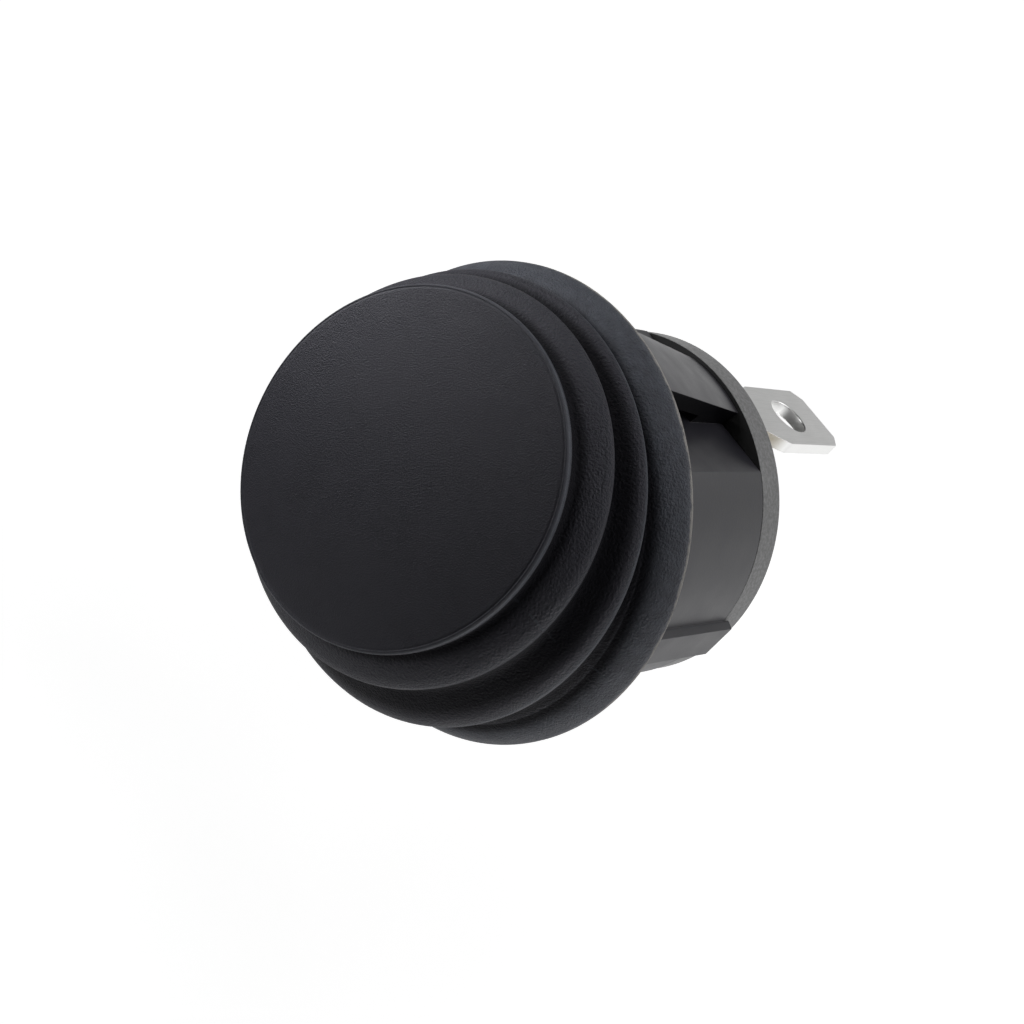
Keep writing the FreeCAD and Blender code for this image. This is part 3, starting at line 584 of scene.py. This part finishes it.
class BootOperator(Operator):
    """Rubber boot: stepped bellows from the panel flange to the leaned cap"""

    bl_idname = "switch.boot"
    bl_label = "Rubber boot"

    def execute(self, context):
        values = settings(context).boot
        cap = values.cap_radius / MM
        lip1 = values.inner_lip / MM
        lip2 = values.outer_lip / MM
        flange = values.flange_radius / MM
        outside = fillet(
            [
                (0.0, flange - 0.10, 0.0),
                (0.0, flange, 0.10),
                (0.45, flange, 0.25),
                (1.45, flange - 0.47, 0.55),
                (2.05, 11.15, 0.15),
                (2.5, 10.85, 0.3),
                (3.66, lip2 - 0.30, 0.12),
                (3.78, lip2 - 0.07, 0.06),
                (4.14, lip2, 0.12),
                (4.42, lip2 - 0.13, 0.12),
                (4.66, lip2 - 0.30, 0.14),
                (5.6, lip1 - 0.34, 0.35),
                (6.78, lip1 - 0.20, 0.10),
                (6.93, lip1, 0.05),
                (7.20, lip1 - 0.01, 0.10),
                (7.55, lip1 - 0.22, 0.25),
                (8.06, lip1 - 0.78, 0.50),
                (8.42, cap - 0.20, 0.20),
                (9.02, cap - 0.15, 0.08),
                (9.18, cap - 0.02, 0.05),
                (9.50, cap - 0.02, 0.12),
                (9.62, cap - 0.13, 0.06),
                (9.585, cap - 0.20, 0.03),
                (9.61, cap - 0.27, 0.06),
                (9.61, 2.0, 0.0),
                (9.61, 0.0, 0.0),
            ]
        )
        inside = [
            (8.82, 0.0),
            (8.82, 7.97),
            (8.18, 7.97),
            (7.2, lip1 - 0.92),
            (5.5, lip1 - 1.11),
            (4.1, lip2 - 0.92),
            (2.3, BOOT_BORE),
            (1.4, 10.0),
            (1.4, 11.05),
            (0.6, 11.05),
            (0.6, BOOT_BORE),
            (0.0, BOOT_BORE),
        ]
        outside = refine(outside, 0.22)
        line = outside + inside + [(0.0, 11.2), (0.0, flange - 0.22)]
        steps = values.steps
        points, rings = [], []
        weights = {"lip": [], "flash": [], "tier": [], "side": [], "painted_shade": []}
        across = Vector((1.0, 0.0, 0.0))
        for number, (along, radius) in enumerate(line):
            share = lean_share(along) * values.tilt
            axis = Vector((0.0, -math.cos(share), math.sin(share)))
            rise = Vector((0.0, math.sin(share), math.cos(share)))
            outer = number < len(outside)
            tier = 0.0 if along > CAP_FACE else 1.0
            lip, flash, painted_shade = boot_weights(along, radius, cap, lip1, lip2) if outer else (0.0, 0.0, 0.0)
            notched = not outer and abs(radius - BOOT_BORE) < 1e-6 and along < NOTCH_DEPTH
            middle = radius < 1e-9
            ring = []
            for step in range(1 if middle else steps):
                angle = FULL * step / steps
                key_side = math.cos(angle) > 0.0
                in_notch = notched and key_side and abs(math.sin(angle) * KEY_RADIUS) < NOTCH_HALF
                reach = NOTCH_RADIUS if in_notch else radius
                spot = axis * along + across * reach * math.cos(angle)
                points.append(spot + rise * reach * math.sin(angle))
                ring.append(len(points) - 1)
                side = radius * math.sin(angle) if key_side else radius
                for label, weight in zip(weights, (lip, flash, tier, side, painted_shade)):
                    weights[label].append(weight)
            rings.append(ring * steps if middle else ring)
        piece = add_mesh("boot_look", [p * MM for p in points], skin(rings, steps))
        for label, numbers in weights.items():
            layer = piece.data.attributes.new(label, "FLOAT", "POINT")
            layer.data.foreach_set("value", numbers)
        piece.data.shade_smooth()
        piece.data.set_sharp_from_angle(angle=math.radians(50))
        coat(piece, rubber_finish(values))
        slant = math.radians(8.5)
        along = Vector((0.0, -math.cos(slant), math.sin(slant)))
        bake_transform(piece)
        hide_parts("sealing_boot")
        return {"FINISHED"}


# Housing and base, in millimetres.

BEZEL_FRONT, BEZEL_REAR, BEZEL_RADIUS = -1.4, -0.6, 11.0
BARREL_REAR = 11.0
TONGUE_FRONT, TONGUE_STEP, TONGUE_REAR = 2.3, 7.7, 11.05
TONGUE_FOOT, TONGUE_SLOPE, TONGUE_HALF_ANGLE = 8.075, 0.172, 12.4
TONGUE_OUTER, TONGUE_INNER = 11.63, 10.53  # radii where the slopes meet the panel plane
KEY_FOOT, KEY_RISE, KEY_HALF, KEY_TOP_HALF = 9.3, 0.42, 1.25, 1.12
KEY_TRIM, KEY_REAR = 11.05, 11.5
CAVITY_RADIUS, CAVITY_FLAT = 8.7, 7.75
BOSS_INNER, BOSS_HALF, PIVOT_HOLE = 5.9, 2.6, 1.05
RIM_FRONT, RIM_REAR, RIM_CHAMFER, RIM_STEPS = 11.14, 13.2, 0.25, 192
SPIGOT_RADIUS, SPIGOT_FLAT, SPIGOT_FRONT = 8.65, 7.7, 9.75
SLOT_HALF = 1.4


def flatted_outline(radius, flat, steps=48):
    """Round outline of (x, z) with flats at plus and minus flat."""
    top = math.asin(flat / radius)
    right = [-top + 2 * top * i / steps for i in range(steps + 1)]
    points = [(radius * math.cos(t), radius * math.sin(t)) for t in right]
    return points + [(-x, -z) for x, z in points]


class HousingOperator(Operator):
    """Moulded housing: bezel, barrel with flats, snap tongues, key and bearing bosses"""

    bl_idname = "switch.housing"
    bl_label = "Housing"

    def execute(self, context):
        values = settings(context).housing
        r = values.barrel_radius / MM
        flat = values.flat_height / MM
        piece = lathe(
            "housing_look",
            [
                (BEZEL_FRONT, 0.0),
                (BEZEL_FRONT, BEZEL_RADIUS),
                (BEZEL_REAR, BEZEL_RADIUS),
                (BEZEL_REAR, r),
                (BARREL_REAR, r),
                (BARREL_REAR, 0.0),
            ],
            values.steps,
        )
        for side in (1, -1):
            low, high = sorted((side * flat, side * (r + 2)))
            combine(piece, block("flat_cut", -r - 1, r + 1, 2.0, 13.0, low, high), "DIFFERENCE")
        section = [
            (TONGUE_FRONT, TONGUE_OUTER - TONGUE_SLOPE * TONGUE_FRONT),
            (TONGUE_REAR, TONGUE_OUTER - TONGUE_SLOPE * TONGUE_REAR),
            (TONGUE_REAR, TONGUE_FOOT),
            (TONGUE_STEP, TONGUE_FOOT),
            (TONGUE_STEP, TONGUE_INNER - TONGUE_SLOPE * TONGUE_STEP),
            (TONGUE_FRONT, TONGUE_INNER - TONGUE_SLOPE * TONGUE_FRONT),
        ]
        for middle in (90, -90):
            first = math.radians(middle - TONGUE_HALF_ANGLE)
            combine(piece, lathe("tongue", section, 24, first, math.radians(2 * TONGUE_HALF_ANGLE)), "UNION")
        half = [(KEY_FOOT, -KEY_HALF), (r, -KEY_HALF), (r + KEY_RISE, -KEY_TOP_HALF)]
        bar = prism("key", half + [(x, -z) for x, z in reversed(half)], BEZEL_REAR, KEY_REAR, "y")
        combine(bar, round_bar("key_trim", r, KEY_TRIM, 12.0, "y", steps=values.steps), "DIFFERENCE")
        combine(piece, bar, "UNION")
        cavity = prism("cavity", flatted_outline(CAVITY_RADIUS, CAVITY_FLAT), -2.0, 12.0, "y")
        combine(piece, cavity, "DIFFERENCE")
        for side in (1, -1):
            low, high = sorted((side * BOSS_INNER, side * 9.0))
            combine(piece, block("boss", low, high, BEZEL_FRONT, 2.8, -BOSS_HALF, BOSS_HALF), "UNION")
        combine(piece, round_bar("pivot_hole", PIVOT_HOLE, -7.6, 7.6, "x"), "DIFFERENCE")
        finish_solid(piece, values.edge_round / MM)

        def under_tongue(at, facing):
            """Faces of a tongue and of the flat below it that don't look outward."""
            outward = facing.z * math.copysign(1.0, at.z)
            return abs(at.x) < 2.75 and abs(at.z) > 8.3 and 2.2 < at.y < 11.2 and outward < 0.4

        # Painted shade under the tongues, on the faces that don't look outward.
        mark_painted_shade(piece, under_tongue)
        coat(piece, nylon_finish("housing_nylon", values.nylon, gloss=0.38, grain=7000.0, depth=0.00001))
        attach(piece, "housing")
        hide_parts("housing")
        return {"FINISHED"}


class BaseOperator(Operator):
    """Rear closure: grainy rim, spigot in the barrel and terminal block"""

    bl_idname = "switch.base"
    bl_label = "Base"

    def execute(self, context):
        values = settings(context).base
        r = values.rim_radius / MM
        piece = lathe(
            "base_look",
            [
                (RIM_FRONT, 0.0),
                (RIM_FRONT, r),
                (RIM_REAR - RIM_CHAMFER, r),
                (RIM_REAR, r - RIM_CHAMFER),
                (RIM_REAR, 0.0),
            ],
            RIM_STEPS,
        )
        spigot = prism("spigot", flatted_outline(SPIGOT_RADIUS, SPIGOT_FLAT), SPIGOT_FRONT, 11.5, "y")
        combine(piece, spigot, "UNION")
        combine(piece, block("terminal_block", -2.4, 2.4, 12.5, 15.6, -2.5, 8.2), "UNION")
        for low, high in ((6.8, 7.7), (-0.45, 0.45)):
            combine(piece, block("slot", -SLOT_HALF, SLOT_HALF, 9.0, 17.0, low, high), "DIFFERENCE")
        finish_solid(piece, values.edge_round / MM)
        # Painted shade on the faces that look forward, in the shadow of the flange.
        mark_painted_shade(piece, lambda at, facing: facing.y < -0.9)
        finish = nylon_finish(
            "base_nylon", values.nylon, gloss=0.44, grain=5200.0, depth=0.00003, speckle=0.45
        )
        coat(piece, finish)
        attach(piece, "housing")
        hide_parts("base")
        return {"FINISHED"}


# Terminals and contacts, in millimetres.

NECK_HALF = 1.35
NECK_END = 18.0
HOLE_PLACE = 21.9
FOOT_FRONT, FOOT_REAR = 8.95, 9.75
SPRING_SEAT, SPRING_GAP = -4.5, 0.03


def tab_outline(half, head):
    """Outline of (x, y): the strip's inner end, its neck, shoulders and chamfered tab."""
    shoulder = half - NECK_HALF
    right = head + [
        (NECK_HALF, 17.4),
        (NECK_HALF + shoulder * 0.52, 18.3),
        (NECK_HALF + shoulder * 0.9, 19.1),
        (half, 19.4),
        (half, 25.1),
        (half - 0.75, 25.85),
    ]
    return right + [(-x, y) for x, y in reversed(right)]


def countersink(name, radius, depth, z, y, facing):
    """Cone that breaks the edge of a hole on the face at z."""
    steps = 64
    points, faces = [], []
    for reach, height in ((radius, z - facing * depth), (radius + 2 * depth, z + facing * depth)):
        for i in range(steps):
            t = FULL * i / steps
            points.append((reach * math.cos(t), y + reach * math.sin(t), height))
    for i in range(steps):
        after = (i + 1) % steps
        faces.append([i, after, steps + after, steps + i])
    faces.append(list(range(steps)))
    faces.append(list(range(steps, 2 * steps)))
    return add_mesh(name, points, faces)


def mark_sheared(piece):
    """Weights on the strip's side faces: bare brass along the neck, a slightly paler tone along the tab."""
    mesh = piece.data
    bare = [0.0] * len(mesh.vertices)
    bright = [0.0] * len(mesh.vertices)
    for face in mesh.polygons:
        if abs(face.normal.z) < 0.35:
            layer = bare if face.center.y < NECK_END * MM else bright
            for index in face.vertices:
                layer[index] = 1.0
    for label, numbers in (("bare", bare), ("bright", bright)):
        mesh.attributes.new(label, "FLOAT", "POINT").data.foreach_set("value", numbers)


class TerminalOperator(Operator):
    """Blade terminals, each a stamped strip with a holed tab"""

    bl_idname = "switch.terminals"
    bl_label = "Terminals"

    def execute(self, context):
        values = settings(context).terminals
        half = values.tab_half / MM
        thick = values.tab_thick / MM
        hole = values.hole_radius / MM
        finish = metal_finish("tab_plated", values.plating, gloss=0.36, edge=values.brass)
        common = [(2.05, 8.03), (2.05, 6.9), (2.7, 6.9), (2.7, FOOT_REAR), (NECK_HALF, FOOT_REAR)]
        for name, low, head, node in (
            ("switched_look", 6.85, [(NECK_HALF, FOOT_FRONT)], "terminal_switched"),
            ("common_look", -thick / 2, common, "terminal_common"),
        ):
            piece = prism(name, tab_outline(half, head), low, low + thick, "z")
            bar = round_bar("hole", hole, low - 1, low + thick + 1, "z", 0.0, HOLE_PLACE)
            combine(piece, bar, "DIFFERENCE")
            for z, facing in ((low + thick, 1), (low, -1)):
                combine(piece, countersink("sink", hole, 0.06, z, HOLE_PLACE, facing), "DIFFERENCE")
            if node == "terminal_switched":
                foot = block("foot", -2.0, 2.0, FOOT_FRONT, FOOT_REAR, 4.184, 7.65)
                combine(foot, round_bar("rivet_hole", 0.7, 8.0, 11.0, "y", 0.0, 6.084), "DIFFERENCE")
                combine(piece, foot, "UNION")
            finish_solid(piece, 0.07, 25.0)
            mark_sheared(piece)
            coat(piece, finish)
            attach(piece, "housing")
            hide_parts(node)
        return {"FINISHED"}


def wire_tree():
    """Geometry Nodes tree for a round wire wound along a helix."""
    tree = bpy.data.node_groups.new("wound_wire", "GeometryNodeTree")
    sizes = (("Height", 0.006), ("Coil Radius", 0.001), ("Wire Radius", 0.0002), ("Turns", 4.0))
    for label, value in sizes:
        socket = tree.interface.new_socket(name=label, in_out="INPUT", socket_type="NodeSocketFloat")
        socket.default_value = value
    tree.interface.new_socket(name="Finish", in_out="INPUT", socket_type="NodeSocketMaterial")
    tree.interface.new_socket(name="Geometry", in_out="OUTPUT", socket_type="NodeSocketGeometry")
    start = tree.nodes.new("NodeGroupInput")
    end = tree.nodes.new("NodeGroupOutput")
    helix = tree.nodes.new("GeometryNodeCurveSpiral")
    helix.inputs["Resolution"].default_value = 40
    profile = tree.nodes.new("GeometryNodeCurvePrimitiveCircle")
    profile.inputs["Resolution"].default_value = 14
    wire = tree.nodes.new("GeometryNodeCurveToMesh")
    wire.inputs["Fill Caps"].default_value = True
    smooth_shade = tree.nodes.new("GeometryNodeSetShadeSmooth")
    real = tree.nodes.new("GeometryNodeRealizeInstances")
    finish = tree.nodes.new("GeometryNodeSetMaterial")
    links = tree.links
    links.new(start.outputs["Height"], helix.inputs["Height"])
    links.new(start.outputs["Turns"], helix.inputs["Rotations"])
    for label in ("Start Radius", "End Radius"):
        links.new(start.outputs["Coil Radius"], helix.inputs[label])
    links.new(start.outputs["Wire Radius"], profile.inputs["Radius"])
    links.new(helix.outputs["Curve"], wire.inputs["Curve"])
    links.new(profile.outputs["Curve"], wire.inputs["Profile Curve"])
    links.new(wire.outputs["Mesh"], smooth_shade.inputs["Geometry"])
    links.new(smooth_shade.outputs["Geometry"], real.inputs["Geometry"])
    links.new(real.outputs["Geometry"], finish.inputs["Geometry"])
    links.new(start.outputs["Finish"], finish.inputs["Material"])
    links.new(finish.outputs["Geometry"], end.inputs["Geometry"])
    return tree


class InsideOperator(Operator):
    """Rocker, plunger, lever and contacts, kept from the frame with their own finishes, and a wound spring"""

    bl_idname = "switch.inside"
    bl_label = "Moving pieces"

    def execute(self, context):
        values = settings(context).inside
        finishes = {
            "rocker": nylon_finish("rocker_nylon", values.nylon, gloss=0.42, grain=7000.0, depth=0.00001),
            "plunger": nylon_finish(
                "plunger_nylon", values.plunger, gloss=0.35, grain=7000.0, depth=0.000006
            ),
            "contact_lever": metal_finish("strip_brass", values.strip, gloss=0.34),
            "moving_contact": metal_finish("contact_silver", values.silver, gloss=0.28),
        }
        finishes["fixed_contact"] = finishes["moving_contact"]
        for name, finish in finishes.items():
            coat(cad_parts[name], finish)

        steel = metal_finish("spring_steel", values.steel, gloss=0.32)
        coat(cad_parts["plunger_spring"], steel)
        piece = add_mesh("spring_look", [], [])
        tree = wire_tree()
        modifier = piece.modifiers.new("wire", "NODES")
        modifier.node_group = tree
        given = {
            "Height": values.spring_length,
            "Coil Radius": values.coil_radius,
            "Wire Radius": values.wire_radius,
            "Turns": values.turns,
            "Finish": steel,
        }
        for item in tree.interface.items_tree:
            if item.in_out == "INPUT":
                modifier[item.identifier] = given[item.name]
        settle(piece)
        lean = settings(context).boot.tilt
        axis = Vector((0.0, math.cos(lean), -math.sin(lean)))
        across = axis.cross(Vector((1.0, 0.0, 0.0)))
        turn = Matrix(((1.0, 0.0, 0.0), across, axis)).transposed().to_4x4()
        seat = axis * SPRING_SEAT * MM
        place = Matrix.Translation(seat + axis * (values.wire_radius + SPRING_GAP * MM))
        piece.data.transform(place @ turn)
        piece.data.update()
        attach(piece, "rocker")
        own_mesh(piece)
        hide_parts("plunger_spring")
        return {"FINISHED"}


# Stage, in metres.

REARWARD = (0.55, 0.83, 0.0)  # the side that the surroundings light up from
FLOOR_HALF = 3.0
FLOOR_GREY = (0.45, 0.45, 0.45, 1.0)
AIM = (0.0, -0.003, 0.0)
EYE_PLACE = (0.03170, -0.05758, 0.03647)
EYE_TURN = ((0.5220, -0.7488, 0.4085), (0.6299, 0.0155, -0.7765), (0.5751, 0.6627, 0.4797))


def add_light(name, watts, size, place):
    lamp = bpy.data.lights.new(name, "AREA")
    lamp.energy = watts
    lamp.size = size
    holder = bpy.data.objects.new(name, lamp)
    holder.location = place
    holder.rotation_euler = (Vector(AIM) - Vector(place)).to_track_quat("-Z", "Y").to_euler()
    holder.visible_camera = False
    bpy.context.scene.collection.objects.link(holder)


def in_mirrors(tree, path):
    """1 where the background is seen in metal or through glass."""
    return add_math(tree, "MAXIMUM", path.outputs["Is Glossy Ray"], path.outputs["Is Transmission Ray"])


def white_world(sky):
    """White to the camera; for light and in mirrors, bright behind and low, dim in front and overhead."""
    world = bpy.data.worlds.new("white_surroundings")
    world.use_nodes = True
    tree = world.node_tree
    ground = tree.nodes["Background"]
    ground.inputs["Color"].default_value = WHITE
    place = tree.nodes.new("ShaderNodeTexCoord")
    facing = tree.nodes.new("ShaderNodeVectorMath")
    facing.operation = "DOT_PRODUCT"
    facing.inputs[1].default_value = REARWARD
    tree.links.new(place.outputs["Generated"], facing.inputs[0])
    height = tree.nodes.new("ShaderNodeSeparateXYZ")
    tree.links.new(place.outputs["Generated"], height.inputs[0])
    around = add_range(tree, facing.outputs["Value"], 0.0, 0.6, 0.05, 1.0)
    low = add_range(tree, height.outputs["Z"], 0.18, 0.56, 1.0, 0.25)
    behind = add_math(tree, "MULTIPLY", around, low)
    path = tree.nodes.new("ShaderNodeLightPath")
    level = add_math(tree, "MAXIMUM", in_mirrors(tree, path), sky)
    tree.links.new(add_math(tree, "MULTIPLY", behind, level), ground.inputs["Strength"])
    white = tree.nodes.new("ShaderNodeBackground")
    white.inputs["Color"].default_value = WHITE
    blend = tree.nodes.new("ShaderNodeMixShader")
    tree.links.new(path.outputs["Is Camera Ray"], blend.inputs[0])
    tree.links.new(ground.outputs[0], blend.inputs[1])
    tree.links.new(white.outputs[0], blend.inputs[2])
    tree.links.new(blend.outputs[0], tree.nodes["World Output"].inputs["Surface"])
    return world


def floor_finish():
    """Matt floor that takes shadow, with a glow for the camera and, towards the rear, for mirrors."""
    material, tree, shader = new_finish("floor_white")
    shader.inputs["Base Color"].default_value = FLOOR_GREY
    shader.inputs["Roughness"].default_value = 0.9
    shader.inputs["Specular IOR Level"].default_value = 0.0
    place = tree.nodes.new("ShaderNodeTexCoord")
    reach = tree.nodes.new("ShaderNodeVectorMath")
    reach.operation = "LENGTH"
    tree.links.new(place.outputs["Object"], reach.inputs[0])
    pale = add_range(tree, reach.outputs["Value"], 0.03, 0.08, 0.80, 1.0)
    path = tree.nodes.new("ShaderNodeLightPath")
    spot = tree.nodes.new("ShaderNodeSeparateXYZ")
    tree.links.new(place.outputs["Object"], spot.inputs[0])
    back = add_math(tree, "ADD", spot.outputs["Y"], add_math(tree, "MULTIPLY", spot.outputs["X"], 0.66))
    near = add_range(tree, back, -0.03, 0.01, 0.0, 0.72)
    far = add_range(tree, back, 0.090, 0.112, 0.0, 0.28)
    mirrored = add_math(tree, "MULTIPLY", in_mirrors(tree, path), add_math(tree, "ADD", near, far))
    seen = add_math(tree, "MAXIMUM", path.outputs["Is Camera Ray"], mirrored)
    glow = tree.nodes.new("ShaderNodeEmission")
    tree.links.new(add_math(tree, "MULTIPLY", pale, seen), glow.inputs["Strength"])
    both = tree.nodes.new("ShaderNodeAddShader")
    tree.links.new(shader.outputs[0], both.inputs[0])
    tree.links.new(glow.outputs[0], both.inputs[1])
    tree.links.new(both.outputs[0], tree.nodes["Material Output"].inputs["Surface"])
    return material


class StageOperator(Operator):
    """White floor and surroundings, soft lights and the camera"""

    bl_idname = "switch.stage"
    bl_label = "Stage"

    def execute(self, context):
        values = settings(context).stage
        scene = context.scene
        scene.view_settings.view_transform = "Standard"
        scene.world = white_world(values.sky)

        square = ((-1, -1), (1, -1), (1, 1), (-1, 1))
        corners = [(x * FLOOR_HALF, y * FLOOR_HALF, -values.floor_drop) for x, y in square]
        floor = add_mesh("floor", corners, [[0, 1, 2, 3]])
        coat(floor, floor_finish())

        add_light("light_left", values.left_light, 0.016, (-0.0284, -0.0194, 0.0090))
        add_light("light_low", values.low_light, 0.016, (-0.0085, -0.0266, -0.0230))
        add_light("light_high", values.high_light, 0.016, (-0.0227, -0.0070, 0.0250))
        add_light("light_above", values.top_light, 0.016, (0.0082, -0.0030, 0.0330))
        add_light("light_right", values.right_light, 0.012, (0.0450, 0.0160, -0.0260))
        add_light("light_rear", values.rear_light, 0.06, (0.0407, 0.0501, 0.0874))

        eye = bpy.data.cameras.new("camera")
        eye.lens = values.lens
        eye.sensor_width = 36.0
        eye.clip_start = 0.001
        camera = bpy.data.objects.new("camera", eye)
        turn = Matrix(EYE_TURN).to_quaternion().to_matrix().to_4x4()
        camera.matrix_world = Matrix.Translation(EYE_PLACE) @ turn
        scene.collection.objects.link(camera)
        scene.camera = camera
        return {"FINISHED"}


class SwitchSettings(PropertyGroup):
    boot: PointerProperty(type=BootSettings, name="Boot", description="Rubber boot")
    housing: PointerProperty(type=HousingSettings, name="Housing", description="Moulded housing")
    base: PointerProperty(type=BaseSettings, name="Base", description="Rear closure")
    terminals: PointerProperty(type=TerminalSettings, name="Terminals", description="Blade terminals")
    inside: PointerProperty(type=InsideSettings, name="Moving pieces", description="Pieces inside")
    stage: PointerProperty(type=StageSettings, name="Stage", description="Floor, lights and camera")


class SwitchPanel(Panel):
    bl_idname = "VIEW3D_PT_switch"
    bl_label = "Rocker switch"
    bl_space_type = "VIEW_3D"
    bl_region_type = "UI"
    bl_category = "Switch"

    def draw(self, context):
        groups = settings(context)
        for operator, group in (
            (BootOperator, groups.boot),
            (HousingOperator, groups.housing),
            (BaseOperator, groups.base),
            (TerminalOperator, groups.terminals),
            (InsideOperator, groups.inside),
            (StageOperator, groups.stage),
        ):
            box = self.layout.box()
            box.operator(operator.bl_idname)
            for name in group.bl_rna.properties.keys():
                if name not in ("rna_type", "name"):
                    box.prop(group, name)


CLASSES = (
    BootSettings,
    HousingSettings,
    BaseSettings,
    TerminalSettings,
    InsideSettings,
    StageSettings,
    SwitchSettings,
    BootOperator,
    HousingOperator,
    BaseOperator,
    TerminalOperator,
    InsideOperator,
    StageOperator,
    SwitchPanel,
)


def register():
    for item in CLASSES:
        bpy.utils.register_class(item)
    bpy.types.Scene.switch_settings = PointerProperty(type=SwitchSettings)


def unregister():
    del bpy.types.Scene.switch_settings
    for item in reversed(CLASSES):
        bpy.utils.unregister_class(item)


def main():
    register()
    bpy.ops.switch.boot()
    bpy.ops.switch.housing()
    bpy.ops.switch.base()
    bpy.ops.switch.terminals()
    bpy.ops.switch.inside()
    bpy.ops.switch.stage()


if __name__ == "__main__":
    main()
